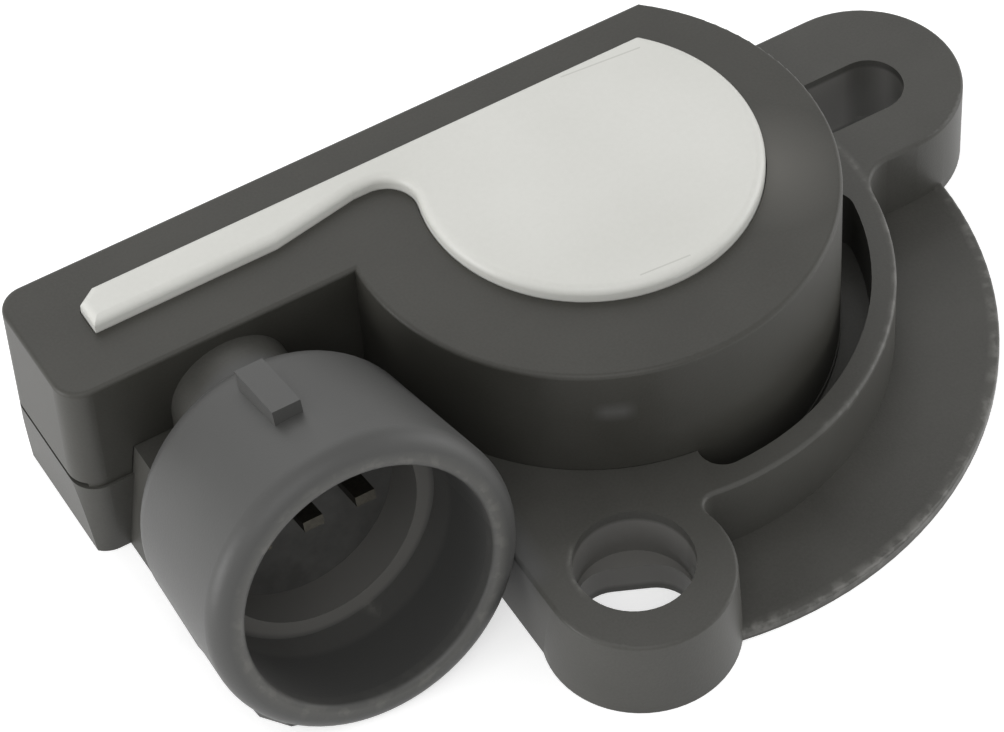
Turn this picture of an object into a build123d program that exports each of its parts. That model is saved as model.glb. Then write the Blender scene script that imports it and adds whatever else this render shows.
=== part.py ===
from build123d import *
import os
from math import acos, asin, atan2, cos, degrees, radians, sin, sqrt, tan

# Throttle position sensor, a rotary potentiometer that bolts on the end of a throttle shaft.
# Millimetres. The origin is where the rotor's axis meets the mounting face,
# +Z points away from the engine, the arm runs towards -X and the socket opens towards -Y.

os.makedirs("parts", exist_ok=True)

# Upper housing, seen from above
body_radius = 17.5
body_back = 12.8
arm_end = 39.5
arm_front = 1.7
arm_end_round = 2.0
housing_wall = 1.8
body_edge_round = 0.35

# Heights above the mounting face
floor_thickness = 2.4
parting_height = 6.9
roof_underside = 14.5
cover_seat = 15.7
body_top = 16.7

# White cover with a round end and a long tail, let into the upper housing
cover_centre = (0.75, 1.05)
cover_radius = 12.15
cover_back = 9.27
cover_thickness = 1.8
cover_edge_round = 0.6
cover_corner_round = 0.3
tail_end = 34.9
tail_front = 6.2
tail_corner_cut = (1.3, 0.9)
tail_step_from = 21.0
tail_step_to = 14.4
tail_neck_front = 7.35
tail_neck_round = 2.35
cover_side_gap = 0.08
cover_ledge = 0.5
sealant_thickness = 0.3

# Skirt of the upper housing that drops into the base
skirt_start = -160
skirt_end = 25
skirt_bottom = 2.5
skirt_gap = 0.05
skirt_end_gap = 1

# Lap at the end of the arm, where the two mouldings stand a little apart
lap_height = 0.4
lap_depth = 0.8

# Base moulding
groove_width = 2.15
ring_wall = 1.75
groove_start = -97
groove_end = -7
groove_floor = 1.8
groove_end_round = 1.8
flange_reach = 7.4
flange_thickness = 0.9
flange_start = -104
flange_end = 0
arm_tray_lip = 0.2
arm_end_draft = 4.5
ring_edge_round = 0.3
flange_edge_round = 0.2

# Near ear, with a round pocket over a slot across the radius
near_ear_radius = 6.6
near_ear_draft = 2.5
near_ear_x = -10.75
near_ear_stand = 2.5
near_ear_root_angle = -95.1
near_ear_root_round = 1.0
near_pocket_radius = 4.2
near_pocket_shift = (0.05, 0.75)
near_pocket_floor = 2.6
near_slot_width = 5.6
near_slot_length = 8.2
near_slot_angle = -24.8

# Far ear, with a slot along the arm's direction
far_ear_radius = 7.4
far_ear_stand = 4.8
far_ear_root_round = 2.6
far_slot_width = 5.1
far_slot_length = 9.35
far_slot_shift = (-1.9, -0.65)

# Socket, a flared barrel that points along -Y and tilts up
socket_x = -28.0
socket_mouth_y = -18.75
socket_lift = 0.0
socket_pitch = 13.5
socket_mouth_radius = 11.5
socket_flare = 1.05
socket_wall = 2.35
socket_step_depth = 8.6
socket_step = 1.3
socket_depth = 13.0
socket_length = 15.1
socket_back_round = 2.6
socket_rim_round = 1.6
socket_lip_round = 0.45

# Neck between the socket and the arm, with a round hump on it
neck_bottom_width = 17.4
neck_top_width = 14.4
neck_height = 9.4
neck_gap = 0.1
neck_front = -6.0
hump_radius = 4.5
hump_top = 15.5
hump_x = -27.65
web_front = -14.0

# Foot of the socket: distance from the mouth, and half width as a share of the barrel's radius
foot_sections = ((12.2, 0.84), (5.0, 0.735), (3.2, 0.6), (2.2, 0.3))

# Latch ramp on the socket
nib_x = -28.7
nib_width = 2.1
nib_length = 5.6
nib_flat = 2.6
nib_height = 1.7
nib_back_height = 1.3
nib_root = 1.0
nib_from_mouth = 6.1

# Terminals
terminal_pitch = 4.0
terminal_width = 1.5
terminal_thickness = 0.8
terminal_slot_gap = 0.03
terminal_tip_depth = 8.5
terminal_bend_y = 7.65
terminal_top = 15.1
potting_thickness = 0.8
solder_radius = 0.9
solder_height = 0.5

# Resistor board and its printed tracks
board_thickness = 1.0
board_radius = 13.2
board_tail_width = 6.0
board_tail_end = 35.6
board_side_gap = 0.2
track_thickness = 0.1
resistor_track_radius = 9.0
resistor_track_width = 1.4
resistor_track_start = -170
resistor_track_end = -20
collector_track_radius = 6.3
collector_track_width = 1.2

# Rotor and its bearing in the base
drive_radius = 4.0
drive_depth = 7.2
drive_slot_width = 2.2
drive_slot_reach = 4.8
drive_slot_depth = 3.4
hub_radius = 6.2
bearing_gap = 0.05
bearing_outer_radius = 8.6
bearing_top = 7.0
recess_radius = 7.6
recess_depth = 2.0
rotor_disc_radius = 10.7
rotor_disc_thickness = 1.6
rotor_post_radius = 7.4
rotor_post_top = 11.5
stop_lug_angle = 190
stop_lug_width = 3.2
stop_lug_radius = 13.6
stop_block_inner_radius = 12.2
stop_block_outer_radius = 15.5
stop_block_angles = (171, 309)
stop_block_sweep = 12
spring_tab_angle = 218
spring_tab_width = 2.4
spring_tab_drop = 1.6
spring_tab_inner_radius = 10.0
spring_tab_outer_radius = 11.9

# Wiper
wiper_thickness = 0.3
wiper_bore_radius = 3.0
wiper_plate_radius = 4.6
wiper_gap = 0.04
wiper_finger_width = 1.0
wiper_angle = -35

# Washers, rings and seals
thrust_washer_thickness = 0.3
washer_gap = 0.1
thrust_washer_outer_radius = 8.4
wave_washer_thickness = 0.5
wave_washer_outer_radius = 7.4
retaining_ring_thickness = 0.6
retaining_ring_outer_radius = 7.1
retaining_groove_radius = 5.5
retaining_ring_slot = 50
shaft_seal_height = 4.7
shaft_seal_width = 1.4
shaft_seal_groove_radius = 5.0
shaft_seal_gap = 0.03
shaft_seal_corner = 0.3
mounting_seal_inner_radius = 13.4
mounting_seal_outer_radius = 15.4
mounting_seal_thickness = 1.2

# Return spring around the bearing
spring_wire_radius = 0.4
spring_radius = 9.3
spring_bottom = 2.85
spring_pitch = 1.1
spring_turns = 3
spring_leg_length = 3.6
spring_leg_gap = 0.1
spring_post_radius = 0.8
spring_post_top = 4.6
spring_post_distance = 12.0

# Planes and places that several pieces share
ring_inner_radius = body_radius + groove_width
ring_outer_radius = ring_inner_radius + ring_wall
flange_radius = ring_outer_radius + flange_reach
near_ear_centre = (near_ear_x, -ring_outer_radius - near_ear_stand)
near_slot_centre = (near_ear_x + near_pocket_shift[0], near_ear_centre[1] + near_pocket_shift[1])
far_ear_reach = ring_outer_radius + far_ear_stand
far_ear_y = body_back - far_ear_radius
far_slot_centre = (far_ear_reach + far_slot_shift[0], far_ear_y + far_slot_shift[1])
pitch = radians(socket_pitch)
socket_mouth_z = socket_mouth_radius * cos(pitch) + socket_lift
socket_back_radius = socket_mouth_radius - socket_flare
socket_bore_radius = socket_mouth_radius - socket_wall
socket_inner_radius = socket_bore_radius - socket_step
socket_axis = Vector(0, -cos(pitch), sin(pitch))
socket_mouth = Vector(socket_x, socket_mouth_y, socket_mouth_z)
socket_plane = Plane(origin=socket_mouth, x_dir=(1, 0, 0), z_dir=socket_axis)
socket_section = Plane(origin=socket_mouth, x_dir=(1, 0, 0), z_dir=(0, -sin(pitch), -cos(pitch)))
nib_origin = socket_mouth - socket_axis * nib_from_mouth
nib_origin += Vector(nib_x - socket_x, 0, 0)
cover_bottom = cover_seat + sealant_thickness
board_bottom = roof_underside - board_thickness
track_bottom = board_bottom - track_thickness
disc_bottom = bearing_top + thrust_washer_thickness
disc_top = disc_bottom + rotor_disc_thickness
ring_bottom = recess_depth - wave_washer_thickness - retaining_ring_thickness
arm_tray_front = arm_front - arm_tray_lip
arm_middle = (arm_front + body_back) / 2
terminal_places = [socket_x + step * terminal_pitch for step in (-1, 0, 1)]
spring_leg_side = spring_tab_width / 2 + spring_wire_radius + spring_leg_gap
spring_leg_angle = spring_tab_angle + degrees(asin(spring_leg_side / spring_tab_inner_radius))
spring_post_side = spring_wire_radius + spring_post_radius
spring_post_angle = spring_leg_angle + degrees(asin(spring_post_side / spring_post_distance))


def axis_height(y):
    """Height of the socket's axis at a distance along Y."""
    return socket_mouth_z + (socket_mouth_y - y) * tan(pitch)


def barrel_radius(depth):
    """Outer radius of the barrel at a distance behind its mouth."""
    share = depth / socket_length
    return socket_mouth_radius + (socket_back_radius - socket_mouth_radius) * share


def barrel_drop(depth):
    """Distance from the socket's axis down to the mounting face, square to the axis."""
    return (socket_mouth - socket_axis * depth).Z / cos(pitch)


nib_plane = Plane(
    origin=nib_origin + Vector(0, sin(pitch), cos(pitch)) * barrel_radius(nib_from_mouth),
    x_dir=socket_axis,
    z_dir=(1, 0, 0),
)


def polar(radius, angle):
    """Point in plan at a radius and an angle in degrees."""
    return (radius * cos(radians(angle)), radius * sin(radians(angle)))


# Outlines in plan that several pieces share
with BuildSketch() as body_outline:
    with Locations((-arm_end / 2, arm_middle)):
        Rectangle(arm_end, body_back - arm_front)
    fillet(body_outline.vertices().group_by(Axis.X)[0], arm_end_round)
    Circle(body_radius)
    with Locations((0, body_back + body_radius)):
        Rectangle(4 * body_radius, 2 * body_radius, mode=Mode.SUBTRACT)

with BuildSketch() as cavity_outline:
    add(body_outline.sketch)
    offset(amount=-housing_wall)

with BuildSketch() as cover_outline:
    with BuildLine():
        Polyline(
            (cover_centre[0], cover_back),
            (tail_corner_cut[0] - tail_end, cover_back),
            (-tail_end, cover_back - tail_corner_cut[1]),
            (-tail_end, tail_front),
            (-tail_step_from, tail_front),
            (-tail_step_to, tail_neck_front),
            (cover_centre[0], tail_neck_front),
            close=True,
        )
    make_face()
    with Locations(cover_centre):
        Circle(cover_radius)
    with Locations((0, cover_back + cover_radius)):
        Rectangle(4 * cover_radius, 2 * cover_radius, mode=Mode.SUBTRACT)
    neck_drop = tail_neck_front - cover_centre[1]
    neck_corner = (cover_centre[0] - sqrt(cover_radius**2 - neck_drop**2), tail_neck_front)
    fillet(cover_outline.vertices().sort_by_distance(neck_corner)[0], tail_neck_round)
    fillet(cover_outline.vertices().sort_by(Axis.X)[-1], cover_corner_round)

# White cover: a flat lid that stands a little proud of the housing
with BuildPart() as white_cover:
    with BuildSketch(Plane.XY.offset(cover_bottom)):
        add(cover_outline.sketch)
    extrude(amount=cover_thickness)
    fillet(white_cover.faces().sort_by(Axis.Z)[-1].edges(), cover_edge_round)

# Sealant bead between the cover and its ledge
with BuildPart() as cover_sealant:
    with BuildSketch(Plane.XY.offset(cover_seat)):
        add(cover_outline.sketch)
        offset(cover_outline.sketch, amount=-cover_ledge, mode=Mode.SUBTRACT)
    extrude(amount=sealant_thickness)

# Upper housing: round body and arm, open below, with a window under the cover
with BuildPart() as upper_housing:
    with BuildSketch(Plane.XY.offset(parting_height)):
        add(body_outline.sketch)
    extrude(amount=body_top - parting_height)
    fillet(upper_housing.faces().sort_by(Axis.Z)[-1].edges(), body_edge_round)
    with BuildSketch(Plane.XY.offset(parting_height)):
        add(cavity_outline.sketch)
    extrude(amount=roof_underside - parting_height, mode=Mode.SUBTRACT)
    with BuildSketch(Plane.XY.offset(roof_underside)):
        offset(cover_outline.sketch, amount=-cover_ledge)
    extrude(amount=cover_seat - roof_underside, mode=Mode.SUBTRACT)
    with BuildSketch(Plane.XY.offset(cover_seat)):
        offset(cover_outline.sketch, amount=cover_side_gap)
    extrude(amount=body_top - cover_seat, mode=Mode.SUBTRACT)
    # Skirt that closes the groove of the base
    with BuildSketch(Plane.XY.offset(skirt_bottom)):
        with BuildLine():
            skirt_arc = CenterArc((0, 0), body_radius, skirt_start, skirt_end - skirt_start)
            Line(skirt_arc @ 1, (0, 0))
            Line((0, 0), skirt_arc @ 0)
        make_face()
        Circle(body_radius - housing_wall, mode=Mode.SUBTRACT)
    extrude(amount=parting_height - skirt_bottom)
    # Opening for the neck in the arm's front wall
    with BuildSketch(Plane.XZ.offset(-arm_front - housing_wall)):
        with BuildLine():
            Polyline(
                (socket_x - neck_bottom_width / 2, 0),
                (socket_x + neck_bottom_width / 2, 0),
                (socket_x + neck_top_width / 2, neck_height),
                (socket_x - neck_top_width / 2, neck_height),
                close=True,
            )
        make_face()
        offset(amount=neck_gap)
    extrude(amount=housing_wall, mode=Mode.SUBTRACT)
    # Lap along the end of the arm
    with BuildSketch(Plane.XY.offset(parting_height)):
        with Locations((lap_depth / 2 - arm_end, arm_middle)):
            Rectangle(lap_depth, body_back - arm_front)
    extrude(amount=lap_height, mode=Mode.SUBTRACT)

# Terminals: three bent strips from the socket to the board
terminal_tip = socket_mouth - socket_axis * terminal_tip_depth
terminals = []
for terminal_x in terminal_places:
    with BuildPart() as terminal:
        with BuildSketch(Plane.YZ.offset(terminal_x - terminal_width / 2)):
            with BuildLine():
                Polyline(
                    (terminal_tip.Y, terminal_tip.Z),
                    (terminal_bend_y, axis_height(terminal_bend_y)),
                    (terminal_bend_y, terminal_top),
                )
            trace(line_width=terminal_thickness)
        extrude(amount=terminal_width)
    terminals.append(terminal.part)

# Base moulding: ring wall, flange, two ears, arm tray, neck and socket
with BuildPart() as base_housing:
    with BuildSketch(Plane.XY.offset(parting_height)) as base_outline:
        Circle(ring_outer_radius)
        with Locations(near_ear_centre):
            Circle(near_ear_radius)
        near_ear_length = arm_tray_front - near_ear_centre[1]
        near_side_middle = near_ear_centre[1] + near_ear_length / 2
        with Locations((near_ear_centre[0] - near_ear_radius / 2, near_side_middle)):
            Rectangle(near_ear_radius, near_ear_length)
        with Locations((far_ear_reach, far_ear_y)):
            Circle(far_ear_radius)
        with Locations((far_ear_reach / 2, far_ear_y)):
            Rectangle(far_ear_reach, 2 * far_ear_radius)
        with Locations((0, body_back + ring_outer_radius)):
            Rectangle(4 * ring_outer_radius, 2 * ring_outer_radius, mode=Mode.SUBTRACT)
        near_root = polar(ring_outer_radius, near_ear_root_angle)
        root_reach = (near_root[0] - near_ear_centre[0], near_root[1] - near_ear_centre[1])
        root_turn = acos(near_ear_radius / sqrt(root_reach[0] ** 2 + root_reach[1] ** 2))
        touch_angle = degrees(atan2(root_reach[1], root_reach[0]) - root_turn)
        with Locations(near_ear_centre):
            with BuildLine():
                Polyline((0, 0), polar(near_ear_radius, touch_angle), root_reach, (0, root_reach[1]), close=True)
            make_face()
        fillet(base_outline.vertices().sort_by_distance(near_root)[0], near_ear_root_round)
        far_root_y = far_ear_y - far_ear_radius
        far_root = (sqrt(ring_outer_radius**2 - far_root_y**2), far_root_y)
        fillet(base_outline.vertices().sort_by_distance(far_root)[0], far_ear_root_round)
    extrude(amount=-parting_height)
    outer_edge = base_housing.faces().sort_by(Axis.Z)[-1].edges().filter_by(GeomType.CIRCLE)
    fillet(outer_edge.filter_by(lambda edge: edge.center().X > near_ear_x - near_ear_radius), ring_edge_round)
    # The near ear grows a little towards the mounting face
    near_ear_height = parting_height - ring_edge_round
    with BuildSketch(Plane.XY.offset(near_ear_height)):
        with Locations(near_ear_centre):
            Circle(near_ear_radius)
    extrude(amount=-near_ear_height, taper=-near_ear_draft)
    # Arm tray, its end drawn in towards the bottom
    with BuildSketch(Plane.XY.offset(parting_height)) as tray_outline:
        with Locations((-arm_end / 2, (arm_tray_front + body_back) / 2)):
            Rectangle(arm_end, body_back - arm_tray_front)
        fillet(tray_outline.vertices().group_by(Axis.X)[0], arm_end_round)
    extrude(amount=-parting_height)
    with BuildSketch(Plane.XZ):
        with BuildLine():
            Polyline(
                (-arm_end, parting_height),
                (-arm_end, 0),
                (parting_height * tan(radians(arm_end_draft)) - arm_end, 0),
                close=True,
            )
        make_face()
    extrude(amount=arm_end, both=True, mode=Mode.SUBTRACT)
    # Flange between the ears
    with BuildSketch():
        with BuildLine():
            flange_arc = CenterArc((0, 0), flange_radius, flange_start, flange_end - flange_start)
            Line(flange_arc @ 1, (0, 0))
            Line((0, 0), flange_arc @ 0)
        make_face()
    extrude(amount=flange_thickness)
    rim = base_housing.edges().filter_by(GeomType.CIRCLE).group_by(SortBy.RADIUS)[-1].sort_by(Axis.Z)[-1]
    fillet(rim, flange_edge_round)
    # Neck, wider at the bottom
    with BuildSketch(Plane.XZ.offset(-arm_front - housing_wall)):
        with BuildLine():
            Polyline(
                (socket_x - neck_bottom_width / 2, 0),
                (socket_x + neck_bottom_width / 2, 0),
                (socket_x + neck_top_width / 2, neck_height),
                (socket_x - neck_top_width / 2, neck_height),
                close=True,
            )
        make_face()
    extrude(amount=arm_front + housing_wall - neck_front)
    # Hump on the neck
    with BuildSketch(Plane.XZ.offset(-arm_front)):
        with Locations((hump_x, hump_top - hump_radius)):
            Circle(hump_radius)
        hump_foot = hump_top - hump_radius
        with Locations((hump_x, hump_foot / 2)):
            Rectangle(2 * hump_radius, hump_foot)
    extrude(amount=arm_front - neck_front)
    # Web from the socket to the deck
    with BuildSketch():
        with Locations((socket_x / 2, (web_front + arm_front) / 2)):
            Rectangle(-socket_x, arm_front - web_front)
    extrude(amount=parting_height)
    # Socket barrel, flared to its mouth
    with BuildSketch(socket_section) as barrel_profile:
        with BuildLine():
            Polyline(
                (0, 0),
                (socket_mouth_radius, 0),
                (socket_back_radius, -socket_length),
                (0, -socket_length),
                close=True,
            )
        make_face()
        back_corner = barrel_profile.vertices().sort_by_distance((socket_back_radius, -socket_length))[0]
        fillet(back_corner, socket_back_round)
        rim_corner = barrel_profile.vertices().sort_by_distance((socket_mouth_radius, 0))[0]
        fillet(rim_corner, socket_rim_round)
    revolve(axis=Axis(socket_mouth, socket_axis))
    # Foot under the barrel, tangent to it and flat on the mounting face
    for foot_start, foot_end in zip(foot_sections[:-1], foot_sections[1:]):
        for depth, width_share in (foot_start, foot_end):
            with BuildSketch(socket_plane.offset(-depth)):
                radius = barrel_radius(depth)
                half_width = width_share * radius
                drop = barrel_drop(depth)
                reach = sqrt(half_width**2 + drop**2)
                touch = atan2(-drop, half_width) + acos(radius / reach)
                tangent = (radius * cos(touch), radius * sin(touch))
                with BuildLine():
                    Line((-half_width, -drop), (half_width, -drop))
                    Line((half_width, -drop), tangent)
                    ThreePointArc(tangent, (0, radius), (-tangent[0], tangent[1]))
                    Line((-tangent[0], tangent[1]), (-half_width, -drop))
                make_face()
        loft(ruled=True)
    # Latch ramp on top of the socket
    with BuildSketch(nib_plane):
        with BuildLine():
            Polyline(
                (-nib_length, -nib_root),
                (0, -nib_root),
                (0, nib_height),
                (-nib_flat, nib_height),
                (-nib_length, nib_back_height),
                close=True,
            )
        make_face()
    extrude(amount=nib_width / 2, both=True)
    # Everything ends at the mounting face
    with BuildSketch():
        Rectangle(4 * arm_end, 4 * arm_end)
    extrude(amount=-body_top, mode=Mode.SUBTRACT)
    # Bore of the socket, with a step half way
    with BuildSketch(socket_plane):
        Circle(socket_bore_radius)
    extrude(amount=-socket_step_depth, mode=Mode.SUBTRACT)
    lip = base_housing.edges().filter_by(GeomType.CIRCLE).sort_by_distance(socket_mouth)
    fillet(lip.filter_by(lambda edge: abs(edge.radius - socket_bore_radius) < socket_lip_round)[0],
           socket_lip_round)
    with BuildSketch(socket_plane):
        Circle(socket_inner_radius)
    extrude(amount=-socket_depth, mode=Mode.SUBTRACT)
    # Cavity for the rotor and the terminals
    with BuildSketch(Plane.XY.offset(floor_thickness)):
        add(cavity_outline.sketch)
    extrude(amount=body_top, mode=Mode.SUBTRACT)
    # Channel for the skirt, opened out to the ring wall between the ears
    with BuildSketch(Plane.XY.offset(floor_thickness)):
        with BuildLine():
            channel_arc = CenterArc(
                (0, 0), body_radius + skirt_gap, skirt_start - skirt_end_gap,
                skirt_end - skirt_start + 2 * skirt_end_gap,
            )
            Line(channel_arc @ 1, (0, 0))
            Line((0, 0), channel_arc @ 0)
        make_face()
    extrude(amount=parting_height - floor_thickness, mode=Mode.SUBTRACT)
    with BuildSketch(Plane.XY.offset(groove_floor)) as groove_sketch:
        with BuildLine():
            groove_arc = CenterArc((0, 0), ring_inner_radius, groove_start, groove_end - groove_start)
            Line(groove_arc @ 1, (0, 0))
            Line((0, 0), groove_arc @ 0)
        make_face()
        for groove_corner in (groove_arc @ 0, groove_arc @ 1):
            fillet(groove_sketch.vertices().sort_by_distance(groove_corner)[0], groove_end_round)
        Circle(body_radius + skirt_gap, mode=Mode.SUBTRACT)
    extrude(amount=parting_height, mode=Mode.SUBTRACT)
    # Bearing for the rotor's hub
    with BuildSketch(Plane.XY.offset(recess_depth)):
        Circle(bearing_outer_radius)
    extrude(amount=bearing_top - recess_depth)
    with BuildSketch():
        Circle(recess_radius)
    extrude(amount=recess_depth, mode=Mode.SUBTRACT)
    with BuildSketch():
        Circle(hub_radius + bearing_gap)
    extrude(amount=bearing_top, mode=Mode.SUBTRACT)
    # Groove for the mounting seal
    with BuildSketch():
        Circle(mounting_seal_outer_radius)
        Circle(mounting_seal_inner_radius, mode=Mode.SUBTRACT)
    extrude(amount=mounting_seal_thickness, mode=Mode.SUBTRACT)
    # Pocket and slot of the near ear
    with BuildSketch(Plane.XY.offset(near_pocket_floor)):
        with Locations(near_slot_centre):
            Circle(near_pocket_radius)
    extrude(amount=parting_height, mode=Mode.SUBTRACT)
    with BuildSketch():
        with Locations(Location(near_slot_centre, near_slot_angle)):
            SlotOverall(near_slot_length, near_slot_width)
    extrude(amount=near_pocket_floor, mode=Mode.SUBTRACT)
    # Slot of the far ear
    with BuildSketch():
        with Locations(far_slot_centre):
            SlotOverall(far_slot_length, far_slot_width)
    extrude(amount=parting_height, mode=Mode.SUBTRACT)
    # Stops and the spring's post
    for stop_angle in stop_block_angles:
        with BuildSketch(Plane.XY.offset(floor_thickness)):
            with BuildLine():
                stop_arc = CenterArc(
                    (0, 0), stop_block_outer_radius, stop_angle - stop_block_sweep / 2, stop_block_sweep
                )
                Line(stop_arc @ 1, (0, 0))
                Line((0, 0), stop_arc @ 0)
            make_face()
            Circle(stop_block_inner_radius, mode=Mode.SUBTRACT)
        extrude(amount=disc_top - floor_thickness)
    with BuildSketch(Plane.XY.offset(floor_thickness)):
        with Locations(polar(spring_post_distance, spring_post_angle)):
            Circle(spring_post_radius)
    extrude(amount=spring_post_top - floor_thickness)
    # Slots for the terminals
    for terminal_x in terminal_places:
        with BuildSketch(Plane.YZ.offset(terminal_x - terminal_width / 2 - terminal_slot_gap)):
            with BuildLine():
                Line(
                    (terminal_tip.Y, terminal_tip.Z),
                    (terminal_bend_y, axis_height(terminal_bend_y)),
                )
            trace(line_width=terminal_thickness + 2 * terminal_slot_gap)
        extrude(amount=terminal_width + 2 * terminal_slot_gap, mode=Mode.SUBTRACT)

# Potting at the bottom of the socket
with BuildPart() as terminal_potting:
    with BuildSketch(socket_plane.offset(-socket_depth)):
        Circle(socket_inner_radius)
    extrude(amount=potting_thickness)
    for strip in terminals:
        add(strip, mode=Mode.SUBTRACT)

# Resistor board under the roof, with holes for the terminals
with BuildPart() as resistor_board:
    with BuildSketch(Plane.XY.offset(board_bottom)):
        with Locations(cover_centre):
            Circle(board_radius)
        board_tail_length = board_tail_end + cover_centre[0]
        with Locations((cover_centre[0] - board_tail_length / 2, terminal_bend_y)):
            Rectangle(board_tail_length, board_tail_width)
        cavity_back = body_back - housing_wall - board_side_gap
        with Locations((0, cavity_back + board_radius)):
            Rectangle(4 * board_radius, 2 * board_radius, mode=Mode.SUBTRACT)
    extrude(amount=board_thickness)
    with BuildSketch(Plane.XY.offset(board_bottom)):
        for terminal_x in terminal_places:
            with Locations((terminal_x, terminal_bend_y)):
                Rectangle(
                    terminal_width + 2 * terminal_slot_gap,
                    terminal_thickness + 2 * terminal_slot_gap,
                )
    extrude(amount=board_thickness, mode=Mode.SUBTRACT)

# Printed resistor track, an arc under the board
with BuildPart() as resistor_track:
    with BuildSketch(Plane.XY.offset(track_bottom)):
        SlotArc(
            CenterArc(
                (0, 0), resistor_track_radius, resistor_track_start,
                resistor_track_end - resistor_track_start,
            ),
            resistor_track_width,
        )
    extrude(amount=track_thickness)

# Printed collector track, a ring inside the resistor
with BuildPart() as collector_track:
    with BuildSketch(Plane.XY.offset(track_bottom)):
        Circle(collector_track_radius + collector_track_width / 2)
        Circle(collector_track_radius - collector_track_width / 2, mode=Mode.SUBTRACT)
    extrude(amount=track_thickness)

# Solder on the three terminal ends
with BuildPart() as solder_joints:
    for terminal_x in terminal_places:
        with BuildSketch(Plane.XY.offset(roof_underside)):
            with Locations((terminal_x, terminal_bend_y)):
                Circle(solder_radius)
                Rectangle(terminal_width, terminal_thickness, mode=Mode.SUBTRACT)
        extrude(amount=solder_height)

# Rotor: hub in the bearing, disc, post for the wiper, and a slotted drive bore
with BuildPart() as rotor:
    with BuildSketch():
        Circle(hub_radius)
    extrude(amount=disc_bottom)
    with BuildSketch(Plane.XY.offset(disc_bottom)):
        Circle(rotor_disc_radius)
        with Locations(Rotation(0, 0, stop_lug_angle)):
            with Locations((stop_lug_radius / 2, 0)):
                Rectangle(stop_lug_radius, stop_lug_width)
        with Locations(Rotation(0, 0, spring_tab_angle)):
            with Locations((spring_tab_outer_radius / 2, 0)):
                Rectangle(spring_tab_outer_radius, spring_tab_width)
    extrude(amount=rotor_disc_thickness)
    with BuildSketch(Plane.XY.offset(disc_top)):
        Circle(rotor_post_radius)
    extrude(amount=rotor_post_top - disc_top)
    # Tab that winds the spring
    with BuildSketch(Plane.XY.offset(disc_bottom)):
        with Locations(Rotation(0, 0, spring_tab_angle)):
            with Locations(((spring_tab_outer_radius + spring_tab_inner_radius) / 2, 0)):
                Rectangle(spring_tab_outer_radius - spring_tab_inner_radius, spring_tab_width)
    extrude(amount=-spring_tab_drop)
    # Grooves for the retaining ring and the shaft seal
    with BuildSketch(Plane.XY.offset(ring_bottom)):
        Circle(hub_radius)
        Circle(retaining_groove_radius, mode=Mode.SUBTRACT)
    extrude(amount=retaining_ring_thickness, mode=Mode.SUBTRACT)
    with BuildSketch(Plane.XY.offset(shaft_seal_height - shaft_seal_width / 2)):
        Circle(hub_radius)
        Circle(shaft_seal_groove_radius, mode=Mode.SUBTRACT)
    extrude(amount=shaft_seal_width, mode=Mode.SUBTRACT)
    # Drive bore for the shaft's end, with two slots for its tangs
    with BuildSketch():
        Circle(drive_radius)
    extrude(amount=drive_depth, mode=Mode.SUBTRACT)
    with BuildSketch():
        Rectangle(2 * drive_slot_reach, drive_slot_width)
    extrude(amount=drive_slot_depth, mode=Mode.SUBTRACT)
    # Pin that centres the wiper
    with BuildSketch(Plane.XY.offset(rotor_post_top)):
        Circle(wiper_bore_radius)
    extrude(amount=wiper_thickness)

# Wiper: a spring plate with two pairs of fingers that touch the tracks
with BuildPart() as wiper:
    with BuildSketch(Plane.XY.offset(rotor_post_top)):
        Circle(wiper_plate_radius)
        Circle(wiper_bore_radius, mode=Mode.SUBTRACT)
    extrude(amount=wiper_thickness)
    finger_angle = radians(wiper_angle)
    for finger_radius in (resistor_track_radius, collector_track_radius):
        for finger_side in (-1, 1):
            finger_plane = Plane(
                origin=(0, 0, rotor_post_top),
                x_dir=(cos(finger_angle), sin(finger_angle), 0),
                z_dir=(sin(finger_angle), -cos(finger_angle), 0),
            ).offset(finger_side * wiper_finger_width - wiper_finger_width / 2)
            with BuildSketch(finger_plane):
                with BuildLine():
                    Polyline(
                        (wiper_bore_radius + wiper_thickness, wiper_thickness / 2),
                        (wiper_plate_radius, wiper_thickness / 2),
                        (finger_radius, track_bottom - wiper_gap - rotor_post_top - wiper_thickness / 2),
                    )
                trace(line_width=wiper_thickness)
            extrude(amount=wiper_finger_width)

# Thrust washer between the bearing and the rotor's disc
with BuildPart() as thrust_washer:
    with BuildSketch(Plane.XY.offset(bearing_top)):
        Circle(thrust_washer_outer_radius)
        Circle(hub_radius + washer_gap, mode=Mode.SUBTRACT)
    extrude(amount=thrust_washer_thickness)

# Wave washer that takes up the rotor's end play
with BuildPart() as wave_washer:
    with BuildSketch(Plane.XY.offset(recess_depth - wave_washer_thickness)):
        Circle(wave_washer_outer_radius)
        Circle(hub_radius + washer_gap, mode=Mode.SUBTRACT)
    extrude(amount=wave_washer_thickness)

# Retaining ring in the hub's groove, open on one side
with BuildPart() as retaining_ring:
    with BuildSketch(Plane.XY.offset(ring_bottom)):
        with BuildLine():
            ring_arc = CenterArc(
                (0, 0), retaining_ring_outer_radius, retaining_ring_slot / 2, 360 - retaining_ring_slot
            )
            Line(ring_arc @ 1, (0, 0))
            Line((0, 0), ring_arc @ 0)
        make_face()
        Circle(retaining_groove_radius, mode=Mode.SUBTRACT)
    extrude(amount=retaining_ring_thickness)

# Ring seal around the hub
with BuildPart() as shaft_seal:
    with BuildSketch(Plane.XZ) as seal_section:
        with Locations(((shaft_seal_groove_radius + hub_radius + bearing_gap - shaft_seal_gap) / 2,
                        shaft_seal_height)):
            Rectangle(
                hub_radius + bearing_gap - shaft_seal_gap - shaft_seal_groove_radius,
                shaft_seal_width,
            )
        fillet(seal_section.vertices(), shaft_seal_corner)
    revolve(axis=Axis.Z)

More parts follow.
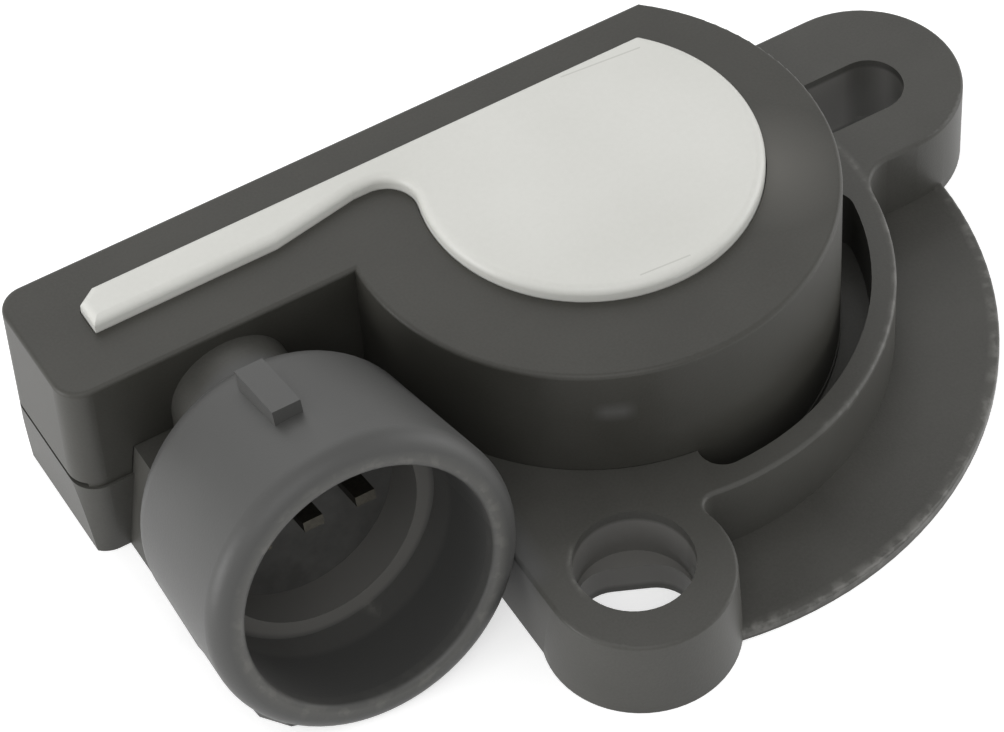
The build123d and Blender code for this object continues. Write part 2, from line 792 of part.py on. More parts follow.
# Seal in the groove of the mounting face
with BuildPart() as mounting_seal:
    with BuildSketch():
        Circle(mounting_seal_outer_radius)
        Circle(mounting_seal_inner_radius, mode=Mode.SUBTRACT)
    extrude(amount=mounting_seal_thickness)

# Return spring: a torsion coil around the bearing with two straight legs
with BuildPart() as return_spring:
    with BuildLine() as spring_path:
        coil = Helix(
            pitch=spring_pitch,
            height=spring_pitch * spring_turns,
            radius=spring_radius,
            center=(0, 0, spring_bottom),
        )
    with BuildSketch(Plane(origin=coil @ 0, z_dir=coil % 0)):
        Circle(spring_wire_radius)
    sweep(path=coil)
    for leg_end in (coil @ 0, coil @ 1):
        with BuildSketch(Plane(origin=leg_end, z_dir=(1, 0, 0))):
            Circle(spring_wire_radius)
        extrude(amount=spring_leg_length)

pieces = {
    "base_housing": base_housing,
    "upper_housing": upper_housing,
    "white_cover": white_cover,
    "cover_sealant": cover_sealant,
    "terminal_potting": terminal_potting,
    "resistor_board": resistor_board,
    "resistor_track": resistor_track,
    "collector_track": collector_track,
    "solder_joints": solder_joints,
    "rotor": rotor,
    "wiper": wiper,
    "thrust_washer": thrust_washer,
    "wave_washer": wave_washer,
    "retaining_ring": retaining_ring,
    "shaft_seal": shaft_seal,
    "mounting_seal": mounting_seal,
    "return_spring": return_spring,
}
return_spring.part = return_spring.part.rotate(Axis.Z, spring_leg_angle)
for name, piece in pieces.items():
    piece.part.label = name
    export_step(piece.part, f"parts/{name}.step")
for strip, name in zip(terminals, ("ground_terminal", "signal_terminal", "supply_terminal")):
    strip.label = name
    export_step(strip, f"parts/{name}.step")
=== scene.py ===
import bpy
from math import radians
from mathutils import Euler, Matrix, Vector


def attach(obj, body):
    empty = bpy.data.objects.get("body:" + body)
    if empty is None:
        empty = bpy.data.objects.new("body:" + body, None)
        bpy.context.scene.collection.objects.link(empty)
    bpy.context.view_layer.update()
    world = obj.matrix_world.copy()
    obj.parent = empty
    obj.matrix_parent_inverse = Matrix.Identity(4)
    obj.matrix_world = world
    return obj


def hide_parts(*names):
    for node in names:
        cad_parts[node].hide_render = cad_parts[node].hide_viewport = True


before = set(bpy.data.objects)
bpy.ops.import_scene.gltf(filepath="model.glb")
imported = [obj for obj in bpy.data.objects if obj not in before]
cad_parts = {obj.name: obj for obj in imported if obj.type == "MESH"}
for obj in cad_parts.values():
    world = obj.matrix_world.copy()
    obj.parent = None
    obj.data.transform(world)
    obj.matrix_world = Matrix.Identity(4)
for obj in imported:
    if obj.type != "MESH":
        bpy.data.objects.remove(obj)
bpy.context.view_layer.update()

# Camera: a long lens above the socket side, as the photograph was taken, with the
# white cover facing it and the socket's mouth near the lower left of the picture.
camera_place = (-0.10163, -0.18141, 0.24567)
camera_turn = (39.894, 2.569, -30.466)
camera_lens = 161.2
camera_sensor = 36
camera_nearest = 0.01
camera_data = bpy.data.cameras.new("camera")
camera_data.lens = camera_lens
camera_data.sensor_width = camera_sensor
camera_data.clip_start = camera_nearest
camera = bpy.data.objects.new("camera", camera_data)
camera.location = camera_place
camera.rotation_euler = Euler([radians(turn) for turn in camera_turn])
bpy.context.scene.collection.objects.link(camera)
bpy.context.scene.camera = camera

# Upper housing: the round body with its arm, injection moulded in dark glass filled nylon,
# with a fine even grain and clouds where the glass lies near the surface. A lighter patch on
# the top beside the cover is painted sheen, and a small pale spot on the wall above the
# socket is a painted highlight.
upper_grey = (0.034, 0.033, 0.028)
upper_light = (0.046, 0.045, 0.039)
upper_painted_sheen = (0.095, 0.092, 0.083)
upper_painted_highlight = (0.078, 0.077, 0.073)
painted_sheen_place = (0.011, -0.0055, 0)
painted_highlight_place = (-0.00755, -0.01579, 0.01295)
nylon_grain = 5200.0
nylon_clouds = 140.0
nylon_cloud_share = 0.55
nylon_smoothest = 0.40
nylon_roughest = 0.54
nylon_relief = 0.35
nylon_gloss = 0.35
grain_height = 0.00003
cloud_darkest = 0.35
cloud_lightest = 0.65
flat_share = (1, 1, 0)


def add_node(tree, kind, place, **settings):
    """Adds a shader node and sets its properties."""
    node = tree.nodes.new(kind)
    node.location = place
    for name, value in settings.items():
        setattr(node, name, value)
    return node


def set_inputs(node, **values):
    """Sets a node's own sockets, with an underscore for each space in their names."""
    for name, value in values.items():
        node.inputs[name.replace("_", " ")].default_value = value


def link_all(tree, *links):
    """Makes links, each from a node's output to another's input."""
    for source, target in links:
        tree.links.new(source, target)


def new_material(name):
    """A material with a Principled shader and its object coordinates."""
    material = bpy.data.materials.new(name)
    material.use_nodes = True
    tree = material.node_tree
    shader = tree.nodes["Principled BSDF"]
    coordinates = add_node(tree, "ShaderNodeTexCoord", (-1400, 0))
    return material, tree, shader, coordinates.outputs["Object"]


def new_group(name, values, outputs):
    """A node group that reads coordinates and named values, each with its usual value."""
    group = bpy.data.node_groups.new(name, "ShaderNodeTree")
    group.interface.new_socket("Vector", in_out="INPUT", socket_type="NodeSocketVector")
    for socket, value in values.items():
        made = group.interface.new_socket(socket, in_out="INPUT", socket_type="NodeSocketFloat")
        made.default_value = value
    for socket in outputs:
        group.interface.new_socket(socket, in_out="OUTPUT", socket_type="NodeSocketFloat")
    start = add_node(group, "NodeGroupInput", (-900, 0))
    end = add_node(group, "NodeGroupOutput", (900, 0))
    return group, start, end


def place_group(tree, group, place, spot, **values):
    """Places a node group in a material, with the coordinates that it reads and its values."""
    node = add_node(tree, "ShaderNodeGroup", place)
    node.node_tree = group
    set_inputs(node, **values)
    tree.links.new(spot, node.inputs["Vector"])
    return node


def mask_at(tree, spot, group, place, turn=(0, 0, 0), stretch=(1, 1, 1), **values):
    """The mask of a node group whose middle is put at a place, turned and stretched."""
    centre = add_node(tree, "ShaderNodeMapping", (-1250, -600), vector_type="TEXTURE")
    set_inputs(centre, Location=place, Rotation=turn, Scale=stretch)
    tree.links.new(spot, centre.inputs["Vector"])
    masked = place_group(tree, group, (-1000, -600), centre.outputs["Vector"], **values)
    return masked.outputs["Mask"]


def mix_colours(tree, place, factor, first, second):
    """Mixes two colours, each a plain colour or a node's output, by a mask."""
    mixer = add_node(tree, "ShaderNodeMix", place, data_type="RGBA")
    tree.links.new(factor, mixer.inputs["Factor"])
    for socket, value in (("A", first), ("B", second)):
        target = [s for s in mixer.inputs if s.name == socket and s.type == "RGBA"][0]
        if isinstance(value, tuple):
            target.default_value = value + (1.0,)
        else:
            tree.links.new(value, target)
    return [s for s in mixer.outputs if s.type == "RGBA"][0]


def wear_finish(material, *node_names):
    """Gives carried-over nodes their material."""
    for node_name in node_names:
        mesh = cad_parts[node_name].data
        mesh.materials.clear()
        mesh.materials.append(material)


# Fine grain of a moulded or cured surface, and the clouds of shade under it.
grain, start, end = new_group(
    "moulded_grain", {"Grain Size": 5200.0, "Cloud Size": 150.0, "Cloud Share": 0.5},
    ("Shade", "Height"))
fine = add_node(grain, "ShaderNodeTexNoise", (-600, 200))
set_inputs(fine, Detail=3.0, Roughness=0.6)
cloud = add_node(grain, "ShaderNodeTexNoise", (-600, -150))
set_inputs(cloud, Detail=2.0)
blend = add_node(grain, "ShaderNodeMix", (-200, 0), data_type="FLOAT")
link_all(
    grain,
    (start.outputs["Vector"], fine.inputs["Vector"]),
    (start.outputs["Vector"], cloud.inputs["Vector"]),
    (start.outputs["Grain Size"], fine.inputs["Scale"]),
    (start.outputs["Cloud Size"], cloud.inputs["Scale"]),
    (start.outputs["Cloud Share"], blend.inputs["Factor"]),
    (fine.outputs["Fac"], blend.inputs["A"]),
    (cloud.outputs["Fac"], blend.inputs["B"]),
    (blend.outputs["Result"], end.inputs["Shade"]),
    (fine.outputs["Fac"], end.inputs["Height"]),
)

# A round zone along an axis, soft at its rim, between two heights on that axis.
round_zone, start, end = new_group(
    "round_zone", {"Radius": 0.004, "Softness": 0.0005, "Lowest": 0.0, "Highest": 0.001},
    ("Mask",))
across = add_node(round_zone, "ShaderNodeVectorMath", (-700, 200), operation="MULTIPLY")
across.inputs[1].default_value = flat_share
reach = add_node(round_zone, "ShaderNodeVectorMath", (-500, 200), operation="LENGTH")
inside = add_node(round_zone, "ShaderNodeMath", (-300, 200), operation="SUBTRACT")
rim = add_node(round_zone, "ShaderNodeMath", (-100, 200), operation="DIVIDE", use_clamp=True)
parts = add_node(round_zone, "ShaderNodeSeparateXYZ", (-700, -200))
above = add_node(round_zone, "ShaderNodeMath", (-500, -100), operation="SUBTRACT")
foot = add_node(round_zone, "ShaderNodeMath", (-300, -100), operation="DIVIDE", use_clamp=True)
below = add_node(round_zone, "ShaderNodeMath", (-500, -300), operation="SUBTRACT")
head = add_node(round_zone, "ShaderNodeMath", (-300, -300), operation="DIVIDE", use_clamp=True)
tall = add_node(round_zone, "ShaderNodeMath", (0, -200), operation="MULTIPLY")
whole = add_node(round_zone, "ShaderNodeMath", (300, 0), operation="MULTIPLY")
link_all(
    round_zone,
    (start.outputs["Vector"], across.inputs[0]),
    (start.outputs["Vector"], parts.inputs[0]),
    (across.outputs["Vector"], reach.inputs[0]),
    (start.outputs["Radius"], inside.inputs[0]),
    (reach.outputs["Value"], inside.inputs[1]),
    (inside.outputs[0], rim.inputs[0]),
    (start.outputs["Softness"], rim.inputs[1]),
    (parts.outputs["Z"], above.inputs[0]),
    (start.outputs["Lowest"], above.inputs[1]),
    (above.outputs[0], foot.inputs[0]),
    (start.outputs["Softness"], foot.inputs[1]),
    (start.outputs["Highest"], below.inputs[0]),
    (parts.outputs["Z"], below.inputs[1]),
    (below.outputs[0], head.inputs[0]),
    (start.outputs["Softness"], head.inputs[1]),
    (foot.outputs[0], tall.inputs[0]),
    (head.outputs[0], tall.inputs[1]),
    (rim.outputs[0], whole.inputs[0]),
    (tall.outputs[0], whole.inputs[1]),
    (whole.outputs[0], end.inputs["Mask"]),
)


def clouded_colour(tree, skin, dark, light):
    """Two shades of one substance, mixed by the clouds in its grain."""
    shade = add_node(tree, "ShaderNodeMapRange", (-850, 250))
    set_inputs(shade, From_Min=cloud_darkest, From_Max=cloud_lightest)
    tree.links.new(skin.outputs["Shade"], shade.inputs["Value"])
    return mix_colours(tree, (-600, 250), shade.outputs["Result"], dark, light)


def uneven_sheen(tree, shader, skin, smoothest, roughest):
    """Lets the roughness run with the clouds, from one value to another."""
    sheen = add_node(tree, "ShaderNodeMapRange", (-300, -50))
    set_inputs(sheen, To_Min=smoothest, To_Max=roughest)
    link_all(tree, (skin.outputs["Shade"], sheen.inputs["Value"]),
             (sheen.outputs["Result"], shader.inputs["Roughness"]))


def fine_relief(tree, shader, skin, strength, height):
    """Raises the grain a little from the surface."""
    relief = add_node(tree, "ShaderNodeBump", (-300, -350))
    set_inputs(relief, Strength=strength, Distance=height)
    link_all(tree, (skin.outputs["Height"], relief.inputs["Height"]),
             (relief.outputs["Normal"], shader.inputs["Normal"]))


def nylon_finish(name, dark, light):
    """The moulded nylon: two shades clouded together, with an uneven sheen and a fine grain."""
    material, tree, shader, spot = new_material(name)
    skin = place_group(tree, grain, (-1100, 200), spot, Grain_Size=nylon_grain,
                       Cloud_Size=nylon_clouds, Cloud_Share=nylon_cloud_share)
    uneven_sheen(tree, shader, skin, nylon_smoothest, nylon_roughest)
    fine_relief(tree, shader, skin, nylon_relief, grain_height)
    set_inputs(shader, Specular_IOR_Level=nylon_gloss)
    return material, tree, shader, spot, clouded_colour(tree, skin, dark, light)


def tint_zones(tree, spot, colour, *zones):
    """Lays a tint over the colour in each round zone, from the first to the last."""
    for tint, place, sizes in zones:
        zone = mask_at(tree, spot, round_zone, place, **sizes)
        colour = mix_colours(tree, (-400, 300), zone, colour, tint)
    return colour


upper_nylon, tree, shader, spot, colour = nylon_finish(
    "upper_housing_nylon", upper_grey, upper_light)
colour = tint_zones(
    tree, spot, colour,
    # Painted sheen: a lighter patch on the body's top beside the cover.
    (upper_painted_sheen, painted_sheen_place,
     {"Radius": 0.006, "Softness": 0.005, "Lowest": 0.005, "Highest": 0.03}),
    # Painted highlight: a small pale spot on the wall above the socket.
    (upper_painted_highlight, painted_highlight_place,
     {"Radius": 0.0016, "Softness": 0.001, "Lowest": -0.00105, "Highest": 0.00105}),
)
tree.links.new(colour, shader.inputs["Base Color"])
wear_finish(upper_nylon, "upper_housing")

# Base housing: one moulding with the ring wall, flange, ears and socket, in a greyer nylon.
# Its flange is chipped pale along the rim. The socket and its neck are painted lighter, as
# painted light on them; the bottom of the socket, the screw pocket and the far slot are
# painted lighter, as painted light in those recesses; and the top edge of the ring wall,
# the screw pocket's rim and the socket's mouth carry painted highlights.
base_grey = (0.045, 0.044, 0.039)
base_light = (0.060, 0.059, 0.053)
base_chipped = (0.150, 0.147, 0.137)
base_painted_highlight = (0.118, 0.116, 0.108)
base_painted_light = (0.064, 0.064, 0.062)
base_painted_recess_light = (0.150, 0.147, 0.138)
rotor_axis = (0, 0, 0)
socket_mouth = (-0.028, -0.01875, 0.01118)
socket_tilt = (radians(76.5), 0, 0)
neck_place = (-0.028, -0.0105, 0)
pocket_place = (-0.0107, -0.02315, 0)
far_slot_place = (0.0243, 0.00475, 0)
far_slot_stretch = (1.8, 1, 1)

# A ring at a radius around an axis, broken up by noise: chipped wear on the flange's rim, and
# painted highlights on the other rims.
ring_wear_and_highlight, start, end = new_group(
    "ring_wear_and_highlight",
    {"Radius": 0.0287, "Width": 0.0004, "Lowest": 0.0, "Highest": 0.001, "Evenness": 0.0},
    ("Mask",))
flat = add_node(ring_wear_and_highlight, "ShaderNodeVectorMath", (-700, 200), operation="MULTIPLY")
flat.inputs[1].default_value = flat_share
length = add_node(ring_wear_and_highlight, "ShaderNodeVectorMath", (-500, 200), operation="LENGTH")
away = add_node(ring_wear_and_highlight, "ShaderNodeMath", (-300, 200), operation="SUBTRACT")
size = add_node(ring_wear_and_highlight, "ShaderNodeMath", (-100, 200), operation="ABSOLUTE")
share = add_node(ring_wear_and_highlight, "ShaderNodeMath", (100, 200), operation="DIVIDE")
fall = add_node(ring_wear_and_highlight, "ShaderNodeMath", (300, 200), operation="SUBTRACT", use_clamp=True)
fall.inputs[0].default_value = 1.0
patches = add_node(ring_wear_and_highlight, "ShaderNodeTexNoise", (-500, -200))
set_inputs(patches, Scale=900.0, Detail=4.0)
spread = add_node(ring_wear_and_highlight, "ShaderNodeMapRange", (-200, -200))
set_inputs(spread, From_Min=0.42, From_Max=0.62)
even = add_node(ring_wear_and_highlight, "ShaderNodeMath", (100, -200), operation="MAXIMUM")
mask = add_node(ring_wear_and_highlight, "ShaderNodeMath", (500, 0), operation="MULTIPLY", use_clamp=True)
parts = add_node(ring_wear_and_highlight, "ShaderNodeSeparateXYZ", (-700, -500))
above = add_node(ring_wear_and_highlight, "ShaderNodeMath", (-400, -500), operation="GREATER_THAN")
below = add_node(ring_wear_and_highlight, "ShaderNodeMath", (-400, -700), operation="LESS_THAN")
between = add_node(ring_wear_and_highlight, "ShaderNodeMath", (-100, -600), operation="MULTIPLY")
kept = add_node(ring_wear_and_highlight, "ShaderNodeMath", (700, -200), operation="MULTIPLY")
link_all(
    ring_wear_and_highlight,
    (start.outputs["Vector"], flat.inputs[0]),
    (start.outputs["Vector"], patches.inputs["Vector"]),
    (start.outputs["Vector"], parts.inputs[0]),
    (flat.outputs["Vector"], length.inputs[0]),
    (length.outputs["Value"], away.inputs[0]),
    (start.outputs["Radius"], away.inputs[1]),
    (away.outputs[0], size.inputs[0]),
    (size.outputs[0], share.inputs[0]),
    (start.outputs["Width"], share.inputs[1]),
    (share.outputs[0], fall.inputs[1]),
    (patches.outputs["Fac"], spread.inputs["Value"]),
    (fall.outputs[0], mask.inputs[0]),
    (spread.outputs["Result"], even.inputs[0]),
    (start.outputs["Evenness"], even.inputs[1]),
    (even.outputs[0], mask.inputs[1]),
    (parts.outputs["Z"], above.inputs[0]),
    (start.outputs["Lowest"], above.inputs[1]),
    (parts.outputs["Z"], below.inputs[0]),
    (start.outputs["Highest"], below.inputs[1]),
    (above.outputs[0], between.inputs[0]),
    (below.outputs[0], between.inputs[1]),
    (mask.outputs[0], kept.inputs[0]),
    (between.outputs[0], kept.inputs[1]),
    (kept.outputs[0], end.inputs["Mask"]),
)

base_nylon, tree, shader, spot, colour = nylon_finish(
    "base_housing_nylon", base_grey, base_light)
colour = tint_zones(
    tree, spot, colour,
    # Painted light: the socket and its neck painted lighter.
    (base_painted_light, socket_mouth,
     {"turn": socket_tilt, "Radius": 0.0134, "Softness": 0.0012, "Lowest": -0.0175,
      "Highest": 0.002}),
    (base_painted_light, neck_place,
     {"Radius": 0.0105, "Softness": 0.001, "Lowest": -0.002, "Highest": 0.0165}),
    # Painted light in the recesses: the bottom of the socket, the screw pocket and the far slot
    # painted lighter.
    (base_painted_recess_light, socket_mouth,
     {"turn": socket_tilt, "Radius": 0.0093, "Softness": 0.0006, "Lowest": -0.0150,
      "Highest": -0.0060}),
    (base_painted_recess_light, pocket_place,
     {"Radius": 0.0047, "Softness": 0.0004, "Lowest": 0.0004, "Highest": 0.0062}),
    (base_painted_recess_light, far_slot_place,
     {"stretch": far_slot_stretch, "Radius": 0.003, "Softness": 0.0003, "Lowest": 0.0004,
      "Highest": 0.0064}),
)

# Each edge: its tint, its axis, the middle and radius of the part that is marked, its ring.
# The flange's rim is chipped; the other three are painted highlights, on the ring wall's
# top edge, the screw pocket's rim and the socket's mouth.
worn_and_highlit_edges = (
    (base_chipped, rotor_axis, (0.014, -0.014, 0), 0.05,
     {"Radius": 0.0286, "Width": 0.0007, "Lowest": 0.0002, "Highest": 0.001, "Evenness": 0.22}),
    # Painted highlight along the top edge of the ring wall.
    (base_painted_highlight, rotor_axis, (0.017, -0.011, 0), 0.015,
     {"Radius": 0.0213, "Width": 0.0004, "Lowest": 0.0063, "Highest": 0.0071, "Evenness": 0.3}),
    # Painted highlight on the screw pocket's rim.
    (base_painted_highlight, pocket_place, (-0.0148, -0.0216, 0), 0.0026,
     {"Radius": 0.00435, "Width": 0.0003, "Lowest": 0.0062, "Highest": 0.0072, "Evenness": 0.3}),
    # Painted highlight on the socket's mouth.
    (base_painted_highlight, socket_mouth, (-0.028, -0.0187, 0), 0.03,
     {"turn": socket_tilt, "Radius": 0.00965, "Width": 0.0007, "Lowest": -0.0012,
      "Highest": 0.001, "Evenness": 0.5}),
)
for tint, axis, marked_middle, marked_reach, sizes in worn_and_highlit_edges:
    ring = mask_at(tree, spot, ring_wear_and_highlight, axis, **sizes)
    marked_part = mask_at(tree, spot, round_zone, marked_middle, Radius=marked_reach, Softness=0.001,
                        Lowest=-0.01, Highest=0.04)
    marked_edge = add_node(tree, "ShaderNodeMath", (-700, -900), operation="MULTIPLY")
    link_all(tree, (ring, marked_edge.inputs[0]), (marked_part, marked_edge.inputs[1]))
    colour = mix_colours(tree, (-100, 300), marked_edge.outputs[0], colour, tint)
tree.links.new(colour, shader.inputs["Base Color"])
wear_finish(base_nylon, "base_housing")

# White cover: a lid moulded in white plastic, satin, clouded a little by handling, with two
# thin lines that the mould left, near its back edge and near its front. It is let into the
# roof's window, on the sealant.
cover_white = (0.675, 0.675, 0.640)
cover_dull = (0.615, 0.615, 0.578)
cover_line = (0.520, 0.520, 0.485)
cover_grain = 2600.0
cover_clouds = 60.0
cover_cloud_share = 0.8
cover_roughness = 0.42
cover_relief = 0.12
cover_grain_height = 0.00002

# A faint straight line of the mould, thin across and ending at a length.
mould_line, start, end = new_group(
    "mould_line", {"Half Width": 0.00006, "Half Length": 0.003}, ("Mask",))
parts = add_node(mould_line, "ShaderNodeSeparateXYZ", (-700, 0))
along = add_node(mould_line, "ShaderNodeMath", (-500, 200), operation="ABSOLUTE")
within = add_node(mould_line, "ShaderNodeMath", (-300, 200), operation="LESS_THAN")
across = add_node(mould_line, "ShaderNodeMath", (-500, -200), operation="ABSOLUTE")
thin = add_node(mould_line, "ShaderNodeMath", (-300, -200), operation="LESS_THAN")
both = add_node(mould_line, "ShaderNodeMath", (0, 0), operation="MULTIPLY")
link_all(
    mould_line,
    (start.outputs["Vector"], parts.inputs[0]),
    (parts.outputs["X"], along.inputs[0]),
    (along.outputs[0], within.inputs[0]),
    (start.outputs["Half Length"], within.inputs[1]),
    (parts.outputs["Y"], across.inputs[0]),
    (across.outputs[0], thin.inputs[0]),
    (start.outputs["Half Width"], thin.inputs[1]),
    (within.outputs[0], both.inputs[0]),
    (thin.outputs[0], both.inputs[1]),
    (both.outputs[0], end.inputs["Mask"]),
)

cover_plastic, tree, shader, spot = new_material("white_cover_plastic")
skin = place_group(tree, grain, (-1100, 200), spot, Grain_Size=cover_grain,
                   Cloud_Size=cover_clouds, Cloud_Share=cover_cloud_share)
colour = clouded_colour(tree, skin, cover_dull, cover_white)

# Each line: its middle, its turn in degrees and half its length.
cover_lines = (
    ((0.0061, 0.0083, 0), -5.2, 0.0031),
    ((0.0, -0.01017, 0), -4.5, 0.0019),
)
for middle, turn, half_length in cover_lines:
    line = mask_at(tree, spot, mould_line, middle, (0, 0, radians(turn)),
                   Half_Length=half_length)
    colour = mix_colours(tree, (-400, 250), line, colour, cover_line)
tree.links.new(colour, shader.inputs["Base Color"])
set_inputs(shader, Roughness=cover_roughness)
fine_relief(tree, shader, skin, cover_relief, cover_grain_height)
wear_finish(cover_plastic, "white_cover")

# Cover sealant: a bead of pale silicone rubber that holds the cover in the roof's window.
# It was laid before the cover went in, and lies under the cover's edge.
sealant_dark = (0.52, 0.52, 0.48)
sealant_light = (0.60, 0.60, 0.56)
plain_clouds = 300.0
plain_cloud_share = 0.4
polish_below = 0.05
polish_above = 0.08


def plain_finish(name, dark, light, roughness, grain_size, relief, metallic=0.0):
    """A finish of one substance: two shades of it clouded together, and a fine relief."""
    material, tree, shader, spot = new_material(name)
    skin = place_group(tree, grain, (-1100, 200), spot, Grain_Size=grain_size,
                       Cloud_Size=plain_clouds, Cloud_Share=plain_cloud_share)
    tree.links.new(clouded_colour(tree, skin, dark, light), shader.inputs["Base Color"])
    uneven_sheen(tree, shader, skin, roughness - polish_below, roughness + polish_above)
    fine_relief(tree, shader, skin, relief, grain_height)
    set_inputs(shader, Metallic=metallic)
    return material


silicone = plain_finish("silicone_bead", sealant_dark, sealant_light, roughness=0.5,
                        grain_size=1800.0, relief=0.3)
wear_finish(silicone, "cover_sealant")

# Terminal potting: dark resin at the bottom of the socket, poured around the terminals to
# hold and seal them. It cured with a gloss.
resin_dark = (0.060, 0.059, 0.056)
resin_light = (0.085, 0.084, 0.080)
resin = plain_finish("potting_resin", resin_dark, resin_light, roughness=0.35,
                     grain_size=900.0, relief=0.2)
wear_finish(resin, "terminal_potting")

# Terminals: three strips punched from brass and tinned, which stand in the socket and bend up
# to the board. Their dark grey is painted shade, for the depth of the socket where they stand.
brass_painted_shade_dark = (0.055, 0.052, 0.045)
brass_painted_shade_light = (0.09, 0.085, 0.07)
tinned_brass_painted_shade = plain_finish("tinned_brass_painted_shade", brass_painted_shade_dark, brass_painted_shade_light, roughness=0.52,
                            grain_size=4200.0, relief=0.2, metallic=1.0)
wear_finish(tinned_brass_painted_shade, "ground_terminal", "signal_terminal", "supply_terminal")

# Resistor board: a tan laminate board under the roof, with two tracks printed on it in black
# carbon ink and three solder joints where the terminals meet it.
laminate_dark = (0.38, 0.30, 0.16)
laminate_light = (0.48, 0.39, 0.22)
ink_dark = (0.010, 0.010, 0.011)
ink_light = (0.020, 0.020, 0.021)
solder_dark = (0.44, 0.45, 0.46)
solder_light = (0.58, 0.59, 0.60)
laminate = plain_finish("board_laminate", laminate_dark, laminate_light, roughness=0.5,
                        grain_size=3000.0, relief=0.3)
wear_finish(laminate, "resistor_board")
carbon_ink = plain_finish("carbon_ink", ink_dark, ink_light, roughness=0.55,
                          grain_size=6000.0, relief=0.3)
wear_finish(carbon_ink, "resistor_track", "collector_track")
solder = plain_finish("solder", solder_dark, solder_light, roughness=0.3,
                      grain_size=1500.0, relief=0.4, metallic=1.0)
wear_finish(solder, "solder_joints")

# Rotor and wiper: the turning part that the throttle's shaft drives, one moulding in dark
# hard wearing plastic, and the spring plate of contact alloy that it carries over the tracks.
rotor_dark = (0.020, 0.019, 0.018)
rotor_light = (0.032, 0.031, 0.029)
alloy_dark = (0.42, 0.33, 0.16)
alloy_light = (0.52, 0.42, 0.22)
rotor_plastic = plain_finish("rotor_plastic", rotor_dark, rotor_light, roughness=0.4,
                             grain_size=4500.0, relief=0.3)
wear_finish(rotor_plastic, "rotor")
contact_alloy = plain_finish("contact_alloy", alloy_dark, alloy_light, roughness=0.28,
                             grain_size=2500.0, relief=0.2, metallic=1.0)
wear_finish(contact_alloy, "wiper")

# Spring steel pieces: the open ring in the rotor's groove, the wave washer that takes up its
# end play, and the return spring coiled around the bearing, all of bare steel.
steel_dark = (0.27, 0.28, 0.29)
steel_light = (0.36, 0.37, 0.38)
spring_steel = plain_finish("spring_steel", steel_dark, steel_light, roughness=0.32,
                            grain_size=3800.0, relief=0.25, metallic=1.0)
wear_finish(spring_steel, "retaining_ring", "wave_washer", "return_spring")

# Shaft seal: a moulded ring of black rubber around the rotor's hub, which keeps dust and
# water out of the bearing.
rubber_dark = (0.012, 0.012, 0.012)
rubber_light = (0.020, 0.020, 0.020)
seal_rubber = plain_finish("seal_rubber", rubber_dark, rubber_light, roughness=0.6,
                           grain_size=2600.0, relief=0.4)
wear_finish(seal_rubber, "shaft_seal")

# Thrust washer: a flat ring of slick pale plastic between the bearing and the rotor's disc,
# which lets the rotor turn easily.
washer_dark = (0.62, 0.56, 0.44)
washer_light = (0.72, 0.66, 0.52)
slick_plastic = plain_finish("thrust_washer_plastic", washer_dark, washer_light,
                             roughness=0.45, grain_size=2000.0, relief=0.2)
wear_finish(slick_plastic, "thrust_washer")

# Mounting seal: a moulded rubber ring of round section in the mounting face. The groove for
# it opens through the back wall, so the ring's back is drawn straight, inside that wall,
# where it lies in the base's own solid.
seal_radius = 0.0144
seal_section = 0.0006
seal_back = 0.0118
bpy.ops.object.select_all(action="DESELECT")
bpy.ops.mesh.primitive_torus_add(
    major_segments=160, minor_segments=20, major_radius=seal_radius, minor_radius=seal_section,
    location=(0, 0, seal_section))
seal = bpy.context.active_object
seal.name = "mounting_seal_ring"
bpy.ops.object.transform_apply(location=True, rotation=True, scale=True)
for point in seal.data.vertices:
    middle = Vector((point.co.x, point.co.y, 0)).normalized() * seal_radius
    if middle.y > seal_back:
        point.co.y -= middle.y - seal_back
bpy.ops.object.shade_smooth()
seal.data.materials.append(seal_rubber)
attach(seal, "housing")
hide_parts("mounting_seal")

# Floor and light: a white sweep that the sensor lies on, in a white room that gives most of
# the light. Low lamps at the left and right light the upright faces, and three higher ones
# light the top from the right, the back and the front.
floor_reach = 1.2
floor_drop = 0.00005
floor_white = (0.80, 0.80, 0.80, 1.0)
floor_roughness = 0.9
floor_glow = 0.55
room_white = (1.0, 1.0, 1.0, 1.0)
room_light = 0.54


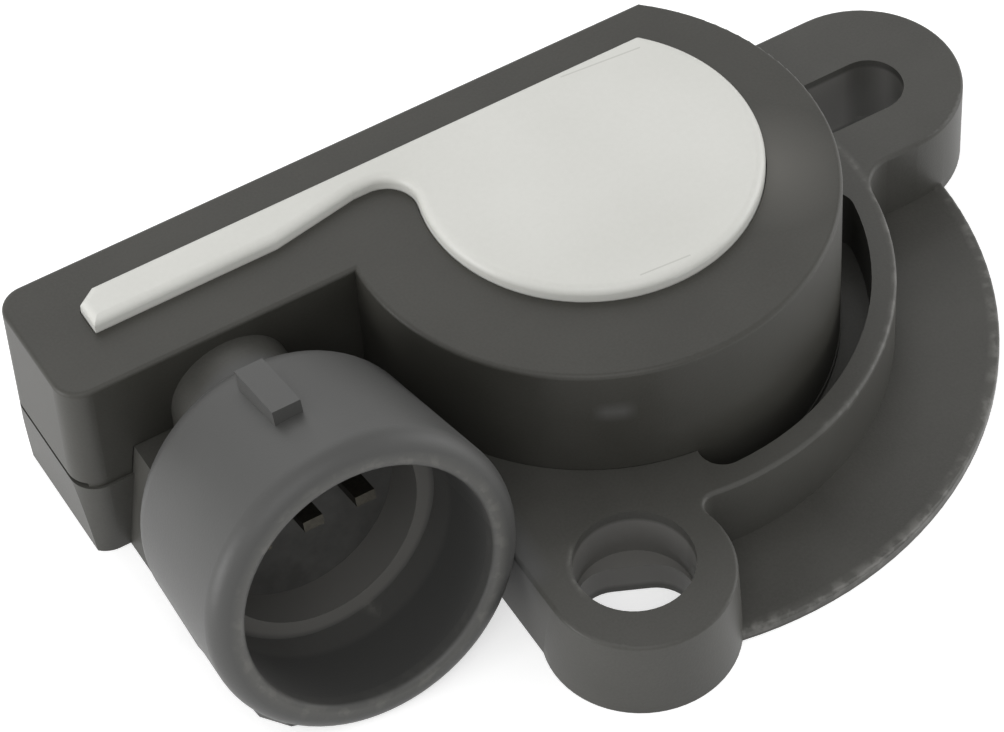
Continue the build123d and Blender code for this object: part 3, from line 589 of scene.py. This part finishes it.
def show_instead(tree, lighting, shown, output):
    """Lights with one shader, and shows another to the camera, in gloss and through glass."""
    ray = add_node(tree, "ShaderNodeLightPath", (-700, 400))
    gloss = add_node(tree, "ShaderNodeMath", (-500, 400), operation="MAXIMUM")
    through = add_node(tree, "ShaderNodeMath", (-300, 400), operation="MAXIMUM")
    pick = add_node(tree, "ShaderNodeMixShader", (400, 100))
    link_all(
        tree,
        (ray.outputs["Is Camera Ray"], gloss.inputs[0]),
        (ray.outputs["Is Glossy Ray"], gloss.inputs[1]),
        (gloss.outputs[0], through.inputs[0]),
        (ray.outputs["Is Transmission Ray"], through.inputs[1]),
        (through.outputs[0], pick.inputs["Fac"]),
        (lighting, pick.inputs[1]),
        (shown, pick.inputs[2]),
        (pick.outputs["Shader"], output.inputs["Surface"]),
    )


bpy.ops.object.select_all(action="DESELECT")
bpy.ops.mesh.primitive_plane_add(size=floor_reach, location=(0, 0, -floor_drop))
floor = bpy.context.active_object
floor.name = "floor"
floor_paint, tree, shader, spot = new_material("floor_paint")
set_inputs(shader, Base_Color=floor_white, Roughness=floor_roughness)
glow = add_node(tree, "ShaderNodeEmission", (0, -300))
set_inputs(glow, Strength=floor_glow)
both = add_node(tree, "ShaderNodeAddShader", (200, -100))
link_all(tree, (shader.outputs["BSDF"], both.inputs[0]), (glow.outputs["Emission"], both.inputs[1]))
show_instead(tree, shader.outputs["BSDF"], both.outputs["Shader"], tree.nodes["Material Output"])
floor.data.materials.append(floor_paint)

world = bpy.data.worlds.new("white_room")
world.use_nodes = True
bpy.context.scene.world = world
tree = world.node_tree
room = tree.nodes["Background"]
set_inputs(room, Color=room_white, Strength=room_light)
seen = add_node(tree, "ShaderNodeBackground", (0, -200))
set_inputs(seen, Color=room_white)
show_instead(tree, room.outputs["Background"], seen.outputs["Background"],
             tree.nodes["World Output"])

# Each lamp: its name, place, width and power.
lamps = (
    ("left_lamp", (-0.62, 0.05, 0.07), 0.30, 2.5),
    ("right_lamp", (0.60, -0.22, 0.08), 0.30, 0.6),
    ("right_top_lamp", (0.60, -0.05, 0.22), 0.35, 0.86),
    ("back_lamp", (0.05, 0.50, 0.42), 0.45, 0.8),
    ("front_top_lamp", (-0.20, -0.36, 0.55), 0.40, 1.2),
)
for name, place, width, power in lamps:
    lamp_data = bpy.data.lights.new(name, "AREA")
    lamp_data.shape = "SQUARE"
    lamp_data.size = width
    lamp_data.energy = power
    lamp = bpy.data.objects.new(name, lamp_data)
    lamp.location = place
    lamp.rotation_euler = (-Vector(place)).to_track_quat("-Z", "Y").to_euler()
    bpy.context.scene.collection.objects.link(lamp)

bpy.context.scene.view_settings.view_transform = "Standard"
